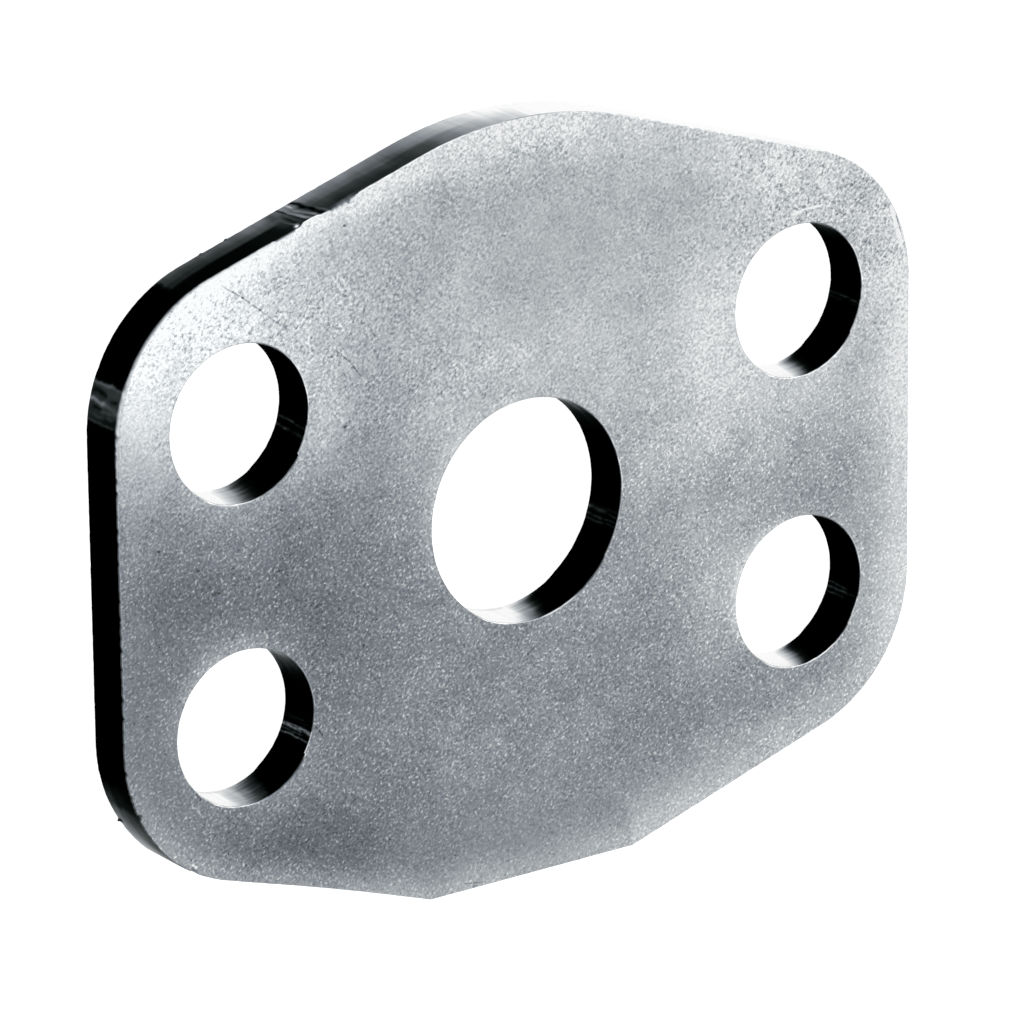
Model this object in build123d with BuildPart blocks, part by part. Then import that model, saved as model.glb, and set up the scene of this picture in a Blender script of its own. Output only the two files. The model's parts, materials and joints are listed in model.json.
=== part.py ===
from build123d import *
import os
from math import cos, radians, sin

# Flange shim plate: a flat steel plate, laser cut in one piece, that goes between the faces of a
# four-bolt hydraulic flange joint. The fluid passes through the bore, and the flange's four bolts
# pass through the holes at the corners.
# Lengths are in millimetres and angles in degrees. The back face lies on z = 0 and the bore's axis
# is Z. +X runs along the longer bolt spacing, and +Y points to the side that keeps its full crown.

plate_thickness = 3.0
bore_diameter = 13.0
bolt_hole_diameter = 9.0
bolt_spacing_long = 38.1
bolt_spacing_short = 17.5
bolt_to_end = 7.95  # from a bolt hole's centre to the straight end beside it
corner_radius = 9.0  # each corner arc is level with its bolt hole
shoulder_slope = 17.7  # the straight shoulders fall this steeply from the crown to the corners
flat_depth = 1.1  # how far the flat cuts into the lower crown
edge_break = 0.15  # bevel left on every arris where the burr was taken off

plate_length = bolt_spacing_long + 2 * bolt_to_end
corner_x = plate_length / 2 - corner_radius
corner_y = bolt_spacing_short / 2

# Both crowns are concentric with the bore. Their radius is the one at which a shoulder of the
# given slope is tangent to the crown at one end and to the corner arc at the other.
shoulder_normal = 90 - shoulder_slope
crown_radius = (
    corner_radius
    + corner_x * cos(radians(shoulder_normal))
    + corner_y * sin(radians(shoulder_normal))
)
flat_to_bore = crown_radius - flat_depth

with BuildPart() as shim_plate:
    with BuildSketch():
        with BuildLine():
            Line((plate_length / 2, 0), (plate_length / 2, corner_y))
            corner = CenterArc((corner_x, corner_y), corner_radius, 0, shoulder_normal)
            crown = CenterArc((0, 0), crown_radius, shoulder_normal, shoulder_slope)
            Line(corner @ 1, crown @ 0)
            mirror(about=Plane.XZ)
            mirror(about=Plane.YZ)
        make_face()
        with Locations((0, -flat_to_bore)):
            Rectangle(
                plate_length,
                crown_radius,
                align=(Align.CENTER, Align.MAX),
                mode=Mode.SUBTRACT,
            )
    extrude(amount=plate_thickness)
    Hole(bore_diameter / 2)
    with GridLocations(bolt_spacing_long, bolt_spacing_short, 2, 2):
        Hole(bolt_hole_diameter / 2)
    chamfer(shim_plate.faces().filter_by(Axis.Z).edges(), edge_break)

shim_plate.part.label = "shim_plate"

os.makedirs("parts", exist_ok=True)
export_step(shim_plate.part, "parts/shim_plate.step")
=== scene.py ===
import json
import math

import bpy
import numpy as np
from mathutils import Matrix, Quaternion, Vector, geometry, noise


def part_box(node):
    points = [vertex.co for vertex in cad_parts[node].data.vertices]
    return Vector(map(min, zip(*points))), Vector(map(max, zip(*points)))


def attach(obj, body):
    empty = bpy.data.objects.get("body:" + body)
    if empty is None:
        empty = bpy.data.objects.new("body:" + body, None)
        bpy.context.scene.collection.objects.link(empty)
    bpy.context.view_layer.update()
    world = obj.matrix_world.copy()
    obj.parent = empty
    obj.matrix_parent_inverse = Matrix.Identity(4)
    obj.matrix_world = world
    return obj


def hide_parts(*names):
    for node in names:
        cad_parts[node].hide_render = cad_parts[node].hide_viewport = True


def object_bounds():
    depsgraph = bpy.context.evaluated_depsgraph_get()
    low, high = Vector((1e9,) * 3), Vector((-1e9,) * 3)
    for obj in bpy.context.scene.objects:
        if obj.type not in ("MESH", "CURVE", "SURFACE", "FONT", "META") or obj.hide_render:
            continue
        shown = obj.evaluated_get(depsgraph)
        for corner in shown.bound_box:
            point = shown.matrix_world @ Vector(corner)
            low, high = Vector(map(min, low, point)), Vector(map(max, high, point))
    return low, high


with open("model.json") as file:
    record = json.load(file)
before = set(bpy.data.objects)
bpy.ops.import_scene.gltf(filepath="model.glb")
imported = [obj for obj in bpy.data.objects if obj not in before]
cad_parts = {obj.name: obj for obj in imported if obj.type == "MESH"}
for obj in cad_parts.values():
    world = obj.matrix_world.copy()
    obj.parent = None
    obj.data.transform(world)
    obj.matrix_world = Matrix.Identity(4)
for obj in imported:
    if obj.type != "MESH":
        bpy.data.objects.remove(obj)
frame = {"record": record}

# Flange shim plate: one laser-cut steel plate. Lengths here are in millimetres, in the frame's axes,
# and become metres when the mesh is made. Levels are display brightness: 0 is black and 1 is white,
# and what goes past them is cut off there.
mm = 0.001
cadLow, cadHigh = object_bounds()
plateLow, plateHigh = (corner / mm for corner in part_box("shim_plate"))
thickness = plateHigh.z - plateLow.z
mounts = {mount["name"]: mount for mount in frame["record"]["mounts"]}
print("frame loaded, plate box", [round(v, 3) for v in plateHigh - plateLow])


def clamp(value):
    return min(1.0, max(0.0, value))


def climb(value, start, reach):
    # 0 up to start, 1 from start + reach on
    return clamp((value - start) / reach)


def window(value, start, end, soft):
    # 1 between start and end, with soft flanks
    return clamp((value - start) / soft + 0.5) * clamp((end - value) / soft + 0.5)


def bell(offset, reach):
    return math.exp(-((offset / reach) ** 2))


def readStops(value, stops):
    return float(np.interp(value, list(stops), list(stops.values())))


def noiseAt(x, y, z):
    # A number by itself among the three only picks another stretch of the noise
    return noise.noise(Vector((x, y, z)))


def addObject(name, data):
    made = bpy.data.objects.new(name, data)
    bpy.context.scene.collection.objects.link(made)
    return made


# Outline

plateShape = {
    "cornerRadius": 9.0,
    "shoulderSlope": 17.7,  # degrees
    "flatEnds": (-6.92, 7.13),  # x of the flat's ends, which lie on the lower shoulders
    "shoulderHollow": 0.09,  # the lower left shoulder is cut slightly hollow
    "columnSpacing": 0.05,
    "columnKeep": 3,  # one column in three is kept, and all of them where the cut has marks
}

# The laser cut. Places along the outline are millimetres round from the middle of the right-hand
# end, by the top. Places along a hole are degrees from +X round its centre. Depths go from 0 at the
# front face to 1 at the back. The walls' tones are painted reflection, white where a wall faces +Y
# and black where it faces -X. Every hole's reflection tones and wear start alike.
holeTones = {-180: 0.3, -135: 0.4, -124: 1.15}
holeWear = {-124: 0, -118: 0.05, -104: 0.05}
cutWalls = {}
cutWalls["outline"] = {
    # start, end of each stretch that keeps all its columns
    "fine": ((53, 59), (59.8, 60.4), (61.6, 62), (64.6, 65.1), (71, 73.6), (93, 97.6), (100.8, 101.7)),
    # place: painted reflection level at the front, half way and at the back
    "tones": {
        9: (0.3, 0.3, 0.33), 13: (0.6, 0.6, 0.66), 16: (1.15, 1.15, 1.15), 39.5: (1.1, 1.15, 1.15),
        41: (0.96, 0.99, 1.1), 42: (0.8, 0.97, 1.05), 43: (0.73, 0.93, 1), 44: (0.63, 0.84, 0.92),
        45: (0.55, 0.76, 0.83), 46: (0.4, 0.63, 0.71), 47: (0.31, 0.5, 0.6), 48: (0.23, 0.38, 0.51),
        49: (0.175, 0.29, 0.44), 51: (0.165, 0.31, 0.47), 54: (0.14, 0.31, 0.47), 55.4: (0.18, 0.29, 0.49),
        56.4: (0.17, 0.26, 0.42), 57.3: (0.12, 0.24, 0.28), 58: (0.07, 0.25, 0.42),
        59: (0.06, 0.245, 0.41), 60: (0.03, 0.2, 0.31), 62: (0.015, 0.165, 0.31), 64.8: (0.01, 0.14, 0.26),
        64.95: (0, 0.05, 0.12), 65.1: (0, 0, 0), 71.15: (0, 0, 0), 71.22: (0.2, 0.19, 0.17),
        72.8: (0.18, 0.17, 0.16), 73.05: (0.08, 0.11, 0.14), 73.45: (0.08, 0.11, 0.14), 73.52: (0, 0, 0),
        94.1: (0, 0, 0), 94.5: (0.015, 0.04, 0.09), 95.1: (0.03, 0.09, 0.17), 95.6: (0.07, 0.11, 0.19),
        96: (0.13, 0.22, 0.31), 96.6: (0.16, 0.25, 0.34), 97: (0.19, 0.28, 0.38), 98: (0.22, 0.34, 0.44),
        99: (0.26, 0.41, 0.56), 100: (0.3, 0.47, 0.65), 100.8: (0.36, 0.47, 0.56), 101.3: (0.5, 0.5, 0.53),
        102: (0.5, 0.5, 0.53), 108: (0.36, 0.36, 0.38), 160: (0.3, 0.3, 0.33),
    },
    # place: painted reflection level of the rounded arris at the front
    "arrisReflections": {
        9: 0.93, 17: 0.9, 24: 0.87, 36: 0.82, 39: 0.72, 41: 0.52, 44: 0.68, 47: 0.86, 52: 0.87, 60: 0.7,
        64: 0.62, 68: 0.54, 70: 0.66, 72: 0.8, 74: 0.62, 82: 0.44, 91: 0.4, 94: 0.3, 95: 0.16, 96: 0.16,
        97: 0.2, 98: 0.22, 99: 0.28, 100: 0.34, 102: 0.48, 106: 0.55, 112: 0.62, 120: 0.73, 130: 0.76,
        145: 0.86, 160: 0.9,
    },
    # start, end, another painted reflection level of the arris between them; high ones are highlights
    "rimMarks": ((53.2, 54.9, 0.5), (55.65, 56.9, 0.97), (57, 57.35, 1.1), (57.4, 58.7, 0.5)),
    # place: how far the front arris is worn back, or stands out where negative
    "wear": {
        52.9: 0, 53.3: 0.07, 54.2: 0.13, 54.85: 0.12, 55.1: 0.09, 55.5: 0.07, 55.85: -0.09, 56.3: -0.14,
        56.75: -0.12, 57.05: 0.09, 58.7: 0.09, 58.9: 0, 73.6: 0, 74.5: -0.03, 92: -0.02, 95.6: 0.01,
        95.75: 0.14, 95.95: 0.12, 96.1: 0, 100.95: 0, 101.05: 0.14, 101.45: 0.14, 101.55: 0,
    },
    # painted streaks of the reflection: place, width, level, first and last depth, lean towards the back
    "streaks": (
        (54.1, 1.5, 0.5, 0, 0.06, 0), (55.1, 0.16, 0.33, 0, 0.42, 0.6), (55.35, 0.28, 0, 0.05, 1, 0.35),
        (55.72, 0.22, 0.45, 0, 0.6, 0.6), (55.92, 0.12, 0.2, 0.05, 0.3, 0.6),
        (56.15, 0.25, 0.5, 0, 0.6, 0.5), (56, 0.22, 0.42, 0.5, 1, 0.05), (56.3, 0.26, 0.46, 0.4, 1, 0.12),
        (56, 0.13, 0.78, 0.8, 1, 0.03), (56.42, 0.14, 0.13, 0.05, 1, 0.2),
        (56.66, 0.16, 0.24, 0.15, 0.7, 0.3), (56.86, 0.12, 0.09, 0.2, 0.6, 0.2),
        (57, 0.16, 0.28, 0.15, 0.68, 0.55), (57.24, 0.24, 1.3, 0.06, 0.09, -1.4),
        (71.3, 0.2, 0.34, 0, 1, 0), (71.65, 0.4, 0.22, 0, 0.45, 0), (71.75, 0.25, 0.05, 0.5, 0.9, 0),
        (72, 0.2, 0.08, 0.15, 0.3, 0), (72.4, 0.3, 0.3, 0, 0.6, -0.2), (72.25, 0.24, 0.45, 0.5, 1, 0),
        (72.62, 0.16, 0.27, 0, 0.55, 0.2), (72.6, 0.18, 0.06, 0.6, 0.8, 0),
        (72.95, 0.22, 0.19, 0.2, 1, 0.1), (73.38, 0.14, 0.19, 0.15, 1, 0), (97.1, 0.25, 0.08, 0.88, 1, 0),
    ),
    # place, depth, height of a burr, or a dent where negative
    "burrs": ((57.2, 0, -0.04), (60.1, 1, 0.09), (61.8, 1, 0.07), (97.1, 1, 0.15)),
    # start, end, depth of the small teeth along the arris
    "rough": ((46, 53, 0.04), (53.1, 55.1, 0.5), (59, 73.5, 0.05), (73.5, 95.9, 0.26), (96, 101, 0.08)),
    # place: how much rounder the front arris is there
    "rounding": {63: 0, 66: 0.04, 70.3: 0.04, 70.8: 0.1, 73.3: 0.1, 74.5: 0.04, 92: 0.04, 94: 0.02, 96: 0},
    # place, reach, how far the whole wall stands out
    "bulges": ((99.6, 1.5, 0.05), (105.5, 3.5, 0.035)),
    "backRounding": {0: 0},
    "lag": {0: 0},
    # place: share of the change between the front and half way that comes as a step
    "stepShares": {44: 0, 46: 0.6, 49: 0.6, 51: 0.2, 57.3: 0.2, 58.3: 1, 72: 1, 90: 0},
    "soft": 0.25,  # how softly rim marks and teeth start and end
    "ripple": 0.2,  # how far the tones waver along the edge with depth
    "bands": 0.1,  # strength of the fine bands along the wall
}
cutWalls["bore"] = {
    # place: painted reflection level for the whole depth
    "tones": {
        **holeTones, -94: 1.1, -92: 0.98, -89: 0.9, -85: 0.64, -81: 0.42, -77: 0.15, -73: 0, 30: 0,
        36: 0.03, 42: 0.09, 48: 0.17, 54: 0.24, 60: 0.36, 80: 0.3,
    },
    "arrisReflections": {
        -180: 0.68, -135: 0.64, -124: 0.8, -118: 1.05, -104: 1.05, -98: 0.9, -92: 0.8, -84: 0.66,
        -79: 0.82, -63: 0.82, -57: 0.45, -42: 0.4, -35: 0.58, -2: 0.6, 10: 0.64, 35: 0.66, 46: 0.52,
        60: 0.55, 75: 0.66, 90: 0.85, 140: 0.88, 170: 0.75, 180: 0.68,
    },
    "wear": {
        **holeWear, -94: 0, -84: 0.06, -74: 0.06, -56: 0.07, -40: 0.06, -36: 0.03, -34.5: -0.07,
        -14: -0.07, -2: -0.05, 3: 0.01, 18: 0.02, 30: 0.05, 38: 0.05, 50: 0.03, 70: 0.02, 90: 0,
    },
    "streaks": (
        (-21.4, 1.2, 0.22, 0.45, 1, 0.3), (-20.6, 0.9, 0.17, 0.08, 0.3, 0.8), (-18.9, 1.3, 0.2, 0.5, 1, 0),
        (-18.3, 0.8, 0.18, 0.1, 0.4, -1.5), (-15.8, 1, 0.17, 0.05, 0.3, 0.5),
        (-15, 2.2, 0.25, 0.42, 1, 0.2), (-13.2, 1, 0.1, 0.1, 0.35, -1),
    ),
    "backLine": (-116, -86, 0.88),  # start, end, level of a faint line across the painted white reflection
}
cutWalls["right_upper"] = {
    "tones": {
        **holeTones, -92: 1.12, -89: 0.96, -85: 0.78, -81: 0.5, -77: 0.24, -73: 0.05, -70: 0, 36: 0,
        42: 0.03, 48: 0.09, 54: 0.14, 60: 0.24, 66: 0.4, 80: 0.28, 180: 0.3,
    },
    "arrisReflections": {
        -180: 0.88, -135: 0.85, -124: 0.9, -118: 1.05, -104: 1.05, -96: 0.92, -84: 0.86, -76: 0.92,
        -60: 0.92, -54: 0.8, -42: 0.75, -34: 0.68, -10: 0.7, 0: 0.74, 20: 0.74, 36: 0.68, 48: 0.5,
        72: 0.45, 84: 0.7, 100: 0.85, 140: 0.92, 180: 0.88,
    },
    "wear": {
        **holeWear, -94: 0, -84: 0.02, -62: 0, -54: 0.01, -38: 0.03, -34.5: 0, -34: -0.08, -10: -0.08,
        -9: -0.04, -2: -0.04, 4: 0, 18: 0, 30: 0.04, 50: 0.05, 72: 0.05, 84: 0.02, 96: 0,
    },
    "streaks": (
        (-15, 1, 0.12, 0.05, 0.2, 0), (-12.8, 1.6, 0.2, 0.05, 0.3, 0.5), (-12, 1.6, 0.22, 0.4, 1, 0.4),
        (-15, 1.3, 0.15, 0.6, 1, 0.4),
    ),
}
cutWalls["left_upper"] = {
    "tones": {
        **holeTones, -102: 1.12, -97: 0.94, -93: 0.86, -89: 0.75, -85: 0.59, -84: 0.53, -83: 0.41,
        -81: 0.32, -77: 0.2, -73: 0.1, -69: 0.02, -66: 0, 46: 0, 54: 0.04, 60: 0.08, 66: 0.2, 80: 0.28,
        180: 0.3,
    },
    "arrisReflections": {
        -180: 0.8, -150: 0.86, -124: 0.9, -118: 1.05, -104: 1, -96: 0.9, -84: 0.78, -72: 0.6, -56: 0.5,
        -36: 0.5, -33: 0.66, -10: 0.76, 20: 0.8, 40: 0.75, 50: 0.6, 72: 0.5, 84: 0.75, 100: 0.88, 140: 0.9,
        165: 0.85, 180: 0.8,
    },
    "wear": {
        **holeWear, -94: 0.02, -84: 0.03, -72: 0.04, -56: 0.05, -36: 0.05, -33.2: 0.04, -32.8: -0.11,
        -12.5: -0.11, -11.5: -0.06, -2: -0.06, 4: -0.03, 18: -0.02, 30: 0.01, 50: 0.04, 74: 0.03, 90: 0,
    },
    "streaks": (
        (-20.9, 2.2, 0.17, 0.06, 0.35, 0), (-20.3, 1.8, 0.26, 0.55, 1, 0.4),
        (-20.6, 1.2, 0.08, 0.3, 0.6, 0), (-15.2, 1.4, 0.19, 0.04, 0.35, 0.6),
        (-14.6, 1.6, 0.26, 0.45, 1, 1.2), (-13.2, 0.8, 0.14, 0.6, 1, 0),
    ),
}
cutWalls["left_lower"] = {
    "tones": {
        **holeTones, -103: 1.1, -97: 0.93, -93: 0.84, -89: 0.76, -85: 0.68, -84: 0.62, -83: 0.5, -81: 0.44,
        -77: 0.31, -73: 0.21, -69: 0.14, -66.6: 0.1, -65.8: 0, 18: 0, 24: 0.03, 30: 0.12, 36: 0.17,
        42: 0.22, 48: 0.3, 54: 0.42, 60: 0.56, 80: 0.3,
    },
    "arrisReflections": {
        -180: 0.72, -165: 0.86, -150: 1, -128: 1, -120: 1.05, -104: 1.05, -98: 0.78, -92: 0.82, -80: 0.68,
        -70: 0.48, -56: 0.36, -36: 0.36, -32: 0.9, -31: 1.05, -16: 1.05, -15: 0.5, 60: 0.5, 72: 0.6,
        84: 0.8, 110: 0.8, 140: 0.7, 165: 0.66, 180: 0.7,
    },
    "wear": {
        **holeWear, -94: 0.02, -84: 0.04, -70: 0.06, -56: 0.07, -42: 0.07, -36: 0.04, -32: 0.03,
        -31.5: -0.1, -15.5: -0.1, -14.5: -0.08, -9: -0.08, -1: -0.06, 4: -0.03, 18: -0.02, 50: 0.03, 74: 0,
    },
    "streaks": (
        (-23.8, 1.5, 0.4, 0.05, 1, -0.7), (-21.3, 1.2, 0.26, 0.3, 1, -0.3), (-18.2, 2.6, 0.42, 0, 1, -0.4),
        (-16.8, 0.8, 0.42, 0, 0.7, 0.3), (-19.2, 0.7, 0.42, 0.35, 1, -0.3),
        (-13.3, 0.8, 0.09, 0.2, 1, 0.4), (-11.6, 0.9, 0.15, 0.35, 1, 0.6), (-9.5, 0.7, 0.05, 0.1, 0.5, 0),
    ),
    "backLine": (-116, -86, 0.86),
}
cutWalls["right_lower"] = {
    "tones": {
        **holeTones, -93: 1.1, -91: 0.96, -89: 0.91, -85: 0.72, -81: 0.35, -77: 0.11, -73: 0.02, -71: 0,
        46: 0, 54: 0.04, 60: 0.14, 66: 0.28, 80: 0.28, 180: 0.3,
    },
    "arrisReflections": {
        -180: 0.78, -150: 0.84, -124: 0.88, -118: 1.05, -104: 1.05, -96: 0.84, -84: 0.78, -77: 1.02,
        -60: 1.02, -54: 0.7, -38: 0.62, -31: 0.8, -29: 0.92, -17: 0.92, -15: 0.66, 20: 0.64, 40: 0.6,
        52: 0.55, 72: 0.5, 84: 0.8, 100: 0.92, 120: 0.97, 150: 0.95, 166: 0.8, 180: 0.76,
    },
    "wear": {
        **holeWear, -94: 0, -86: 0.03, -77: 0, -60: 0, -54: 0.03, -40: 0.04, -37.5: 0.03, -37: -0.05,
        -30: -0.06, -29.5: -0.1, -16.5: -0.1, -15: -0.05, -2: -0.06, 4: -0.03, 18: -0.02, 30: 0.02,
        50: 0.03, 72: 0.04, 84: 0.05, 105: 0.04, 120: 0,
    },
    "streaks": (
        (-21, 1.4, 0.21, 0.45, 1, 0.6), (-16.8, 1.8, 0.26, 0.38, 1, 0.3), (-13.8, 1.4, 0.2, 0.4, 1, 0.4),
        (-16.8, 1, 0.13, 0.08, 0.35, 0),
    ),
}
# What all holes share
holeCut = {
    "fine": ((-39, 1),),
    "rimMarks": (),
    "burrs": (),
    "rough": ((-100, -36, 0.05), (-10, 70, 0.04)),
    "backRounding": {-124: 0, -96: 0.03, -84: 0.13, -60: 0.13, -54: 0, 20: 0, 34: 0.05, 60: 0.07, 75: 0},
    "rounding": {0: 0},
    "bulges": (),
    # depth: how many degrees further from +X the tones are read there
    "lag": {
        0: -6.5, 0.04: -5.5, 0.12: -4.3, 0.27: -2.2, 0.43: 0, 0.6: 1, 0.77: 2.2, 0.84: 3.2, 0.9: 6, 1: 7.5,
    },
    "stepShares": {0: 0},
    "soft": 1.5,
    "ripple": 1.1,
    "bands": 0.4,
}


class EdgeLoop:
    # The columns of points down one cut edge. The steel is on the left of the way round.
    def __init__(self, name, places, centre=None, radius=0.0):
        self.name, self.centre, self.radius = name, centre, radius
        self.cut = cutWalls[name] if centre is None else {**holeCut, **cutWalls[name]}
        place = np.array(places)
        ahead = np.roll(place, -1, axis=0)
        span = ahead - np.roll(place, 1, axis=0)
        span /= np.hypot(span[:, 0], span[:, 1])[:, None]
        steps = np.hypot(*(ahead - place).T)
        run = np.concatenate([[0.0], np.cumsum(steps)[:-1]])
        along = run
        if centre is not None:
            along = np.degrees(np.arctan2(place[:, 1] - centre[1], place[:, 0] - centre[0]))
        fine = np.zeros(len(place), bool)
        for start, end in self.cut["fine"]:
            fine |= (along > start) & (along < end)
        kept = fine | (np.arange(len(place)) % plateShape["columnKeep"] == 0)
        self.place, self.run, self.along = place[kept], run[kept], along[kept]
        self.normal = np.column_stack([span[:, 1], -span[:, 0]])[kept]
        self.facing = np.degrees(np.arctan2(self.normal[:, 1], self.normal[:, 0])) % 360


def spacedSteps(length):
    return max(3, round(length / plateShape["columnSpacing"]))


def arcPlaces(centre, radius, startAngle, endAngle):
    length = abs(math.radians(endAngle - startAngle)) * radius
    turns = np.radians(np.linspace(startAngle, endAngle, spacedSteps(length) + 1))[:-1]
    return [(centre[0] + radius * math.cos(turn), centre[1] + radius * math.sin(turn)) for turn in turns]


def linePlaces(start, end, hollow=0.0):
    length = math.dist(start, end)
    inward = ((start[1] - end[1]) / length, (end[0] - start[0]) / length)
    places = []
    for share in np.linspace(0, 1, spacedSteps(length) + 1)[:-1]:
        inset = hollow * math.sin(math.pi * share)
        x, y = (start[k] + (end[k] - start[k]) * share + inward[k] * inset for k in (0, 1))
        places.append((x, y))
    return places


def outerLoop():
    radius, right = plateShape["cornerRadius"], plateHigh.x
    cornerX, cornerY = right - radius, mounts["bolt_holes"]["dims"]["spacing_y_mm"] / 2
    turn = 90 - plateShape["shoulderSlope"]
    tangent = np.array((math.cos(math.radians(turn)), math.sin(math.radians(turn))))
    crownRadius = radius + cornerX * tangent[0] + cornerY * tangent[1]
    onCrown = crownRadius * tangent
    onCorner = radius * tangent + (cornerX, cornerY)
    leftward, downward = np.array((-1, 1)), np.array((1, -1))
    fall = math.tan(math.radians(plateShape["shoulderSlope"]))
    flatLeft, flatRight = ((x, (abs(x) - onCrown[0]) * fall - onCrown[1]) for x in plateShape["flatEnds"])
    places = linePlaces((right, 0), (right, cornerY))
    places += arcPlaces((cornerX, cornerY), radius, 0, turn)
    places += linePlaces(onCorner, onCrown)
    places += arcPlaces((0, 0), crownRadius, turn, 180 - turn)
    places += linePlaces(onCrown * leftward, onCorner * leftward)
    places += arcPlaces((-cornerX, cornerY), radius, 180 - turn, 180)
    places += linePlaces((-right, cornerY), (-right, -cornerY))
    places += arcPlaces((-cornerX, -cornerY), radius, 180, 180 + turn)
    places += linePlaces(-onCorner, flatLeft, plateShape["shoulderHollow"])
    places += linePlaces(flatLeft, flatRight)
    places += linePlaces(flatRight, onCorner * downward)
    places += arcPlaces((cornerX, -cornerY), radius, 360 - turn, 360)
    places += linePlaces((right, -cornerY), (right, 0))
    return EdgeLoop("outline", places)


def holeLoops():
    bolts = mounts["bolt_holes"]["dims"]
    spots = [("bore", (0.0, 0.0), mounts["bore"]["dims"]["r_mm"])]
    for sideX, across in (("left", -0.5), ("right", 0.5)):
        for sideY, up in (("lower", -0.5), ("upper", 0.5)):
            centre = (across * bolts["spacing_x_mm"], up * bolts["spacing_y_mm"])
            spots.append((sideX + "_" + sideY, centre, bolts["hole_r_mm"]))
    made = []
    for name, centre, radius in spots:
        made.append(EdgeLoop(name, arcPlaces(centre, radius, 180, -180), centre, radius))
    return made


outline = outerLoop()
holes = holeLoops()
loops = [outline] + holes
print("cut edges:", ", ".join(f"{loop.name} {len(loop.run)} columns" for loop in loops))


# Cut walls: their form, and their reflections painted on them as brightness

cutEdge = {
    "frontRadius": 0.08,  # of the arris at the front face
    "backRadius": 0.07,
    "radiusChange": 0.35,  # how much both vary along the edge
    "frontSteps": 4,  # strips round the arris
    "backSteps": 3,
    "wallRows": 18,
    "relief": 0.012,  # depth of the striations
    # Share of the relief, noise scale per millimetre along the edge and per thickness down
    "fineStriations": (0.6, 1.9, 0.6),
    "broadStriations": (0.6, 0.35, 0.9),
    "striationLag": 0.35,
    "burrReach": 0.09,
    "teethPerMillimetre": 2.8,
    "backTeethPerMillimetre": 2.6,
    "backTeeth": 0.025,
    "lipDepth": 0.05,  # wear, lips and teeth fade over this share of the thickness
    # Depth where the tone starts to change to the next one, and over how much depth
    "frontChange": (0.15, 0.45),
    "backChange": (0.6, 0.33),
    "step": (0.48, 0.07, 0.03),  # depth, reach and waver of a step in the front change's place
    "mottle": 0.15,
    "mottleEnd": 1.2,  # the level at which the mottle has faded out
    "rimMottle": 0.3,
    "streakReach": 0.55,  # to each side, as a share of a streak's width
    "streakEnds": 0.06,  # depth over which it fades past its ends
    "streakSway": 0.7,
    "streakStrength": (0.85, 0.5),  # middle value, and how much it varies
    "backLine": (0.88, 0.04, 6.0),  # depth, reach, softness of its ends
    # Striations painted on show more on the duller walls, which face right and down
    "dullFacing": -0.7,  # radians
    "dullStreaks": {0.2: 0.05, 0.5: 0.32},  # cosine of the angle from there, strength
    "wallStart": 0.6,  # share of the front arris at which the wall's level starts to take over
}


def wallLevel(loop, column, depth):
    # The wall's painted reflection: its tone by place and depth, with painted streaks
    cut, place = loop.cut, loop.along[column]
    x, y = loop.place[column]
    along = place + math.copysign(1.0, place) * readStops(depth, cut["lag"])
    along += cut["ripple"] * noiseAt(x * 0.3, y * 0.3, depth * 9.0)
    # A hole's reflection tones have one level for front, middle and back
    stops, tones = list(cut["tones"]), np.atleast_2d(np.transpose(list(cut["tones"].values())))
    levels = [float(np.interp(along, stops, tone)) for tone in tones]
    front, halfWay, back = levels * (3 // len(levels))
    split, reach, waver = cutEdge["step"]
    split += waver * noiseAt(x * 0.35, y * 0.35, 4.0)
    step = readStops(place, cut["stepShares"])
    share = step * clamp((depth - split) / reach + 0.5)
    share += (1 - step) * climb(depth, *cutEdge["frontChange"])
    level = front + (halfWay - front) * share + (back - halfWay) * climb(depth, *cutEdge["backChange"])
    mottle = noiseAt(loop.run[column] * 1.1, depth * 2.2, 17.0)
    level *= 1 + cutEdge["mottle"] * clamp(cutEdge["mottleEnd"] - level) * mottle
    strength, change = cutEdge["streakStrength"]
    for spot, width, target, first, last, lean in cut["streaks"]:
        sway = cutEdge["streakSway"] * width * noiseAt(spot * 3.1, depth * 4.0, 5.0)
        offset = place - spot - lean * depth - sway
        ends = cutEdge["streakEnds"]
        shows = clamp((depth - first) / ends + 1) * clamp((last - depth) / ends + 1)
        shows *= strength + change * noiseAt(spot * 5.3, depth * 7.0, 9.0)
        level += (target - level) * bell(offset, cutEdge["streakReach"] * width) * shows
    if "backLine" in cut:
        start, end, lowest = cut["backLine"]
        middle, reach, soft = cutEdge["backLine"]
        line = bell(depth - middle, reach) * window(place, start, end, soft)
        level = min(level, 1.0 - (1.0 - lowest) * line)
    return level


def streakGain(loop, column):
    angle = math.radians(loop.facing[column]) - cutEdge["dullFacing"]
    return readStops(math.cos(angle), cutEdge["dullStreaks"])


def rimLevel(loop, column):
    # The front arris's painted reflection, with some mottle
    cut, along = loop.cut, loop.along[column]
    level = readStops(along, cut["arrisReflections"])
    level *= 1 + cutEdge["rimMottle"] * noiseAt(loop.run[column] * 2.5, 8.0, loop.radius)
    for start, end, target in cut["rimMarks"]:
        level += (target - level) * window(along, start, end, 0.5 * cut["soft"])
    return level


def wallRelief(loop, column, depth):
    # Striations that lag towards the back, burrs and bulges, as an inset
    run, place = loop.run[column], loop.along[column]
    share, along, down = cutEdge["fineStriations"]
    lag = cutEdge["striationLag"] * depth * depth
    fine = share * noiseAt(run * along + lag, depth * down, 7.0 + 3.0 * loop.radius)
    share, along, down = cutEdge["broadStriations"]
    broad = share * noiseAt(run * along, depth * down, 21.0 + loop.radius)
    inset = cutEdge["relief"] * (fine + broad)
    for spot, burrDepth, height in loop.cut["burrs"]:
        offset = math.hypot(place - spot, (depth - burrDepth) * thickness)
        inset -= height * bell(offset, cutEdge["burrReach"])
    for spot, reach, height in loop.cut["bulges"]:
        inset -= height * bell(place - spot, reach)
    return inset


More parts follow.
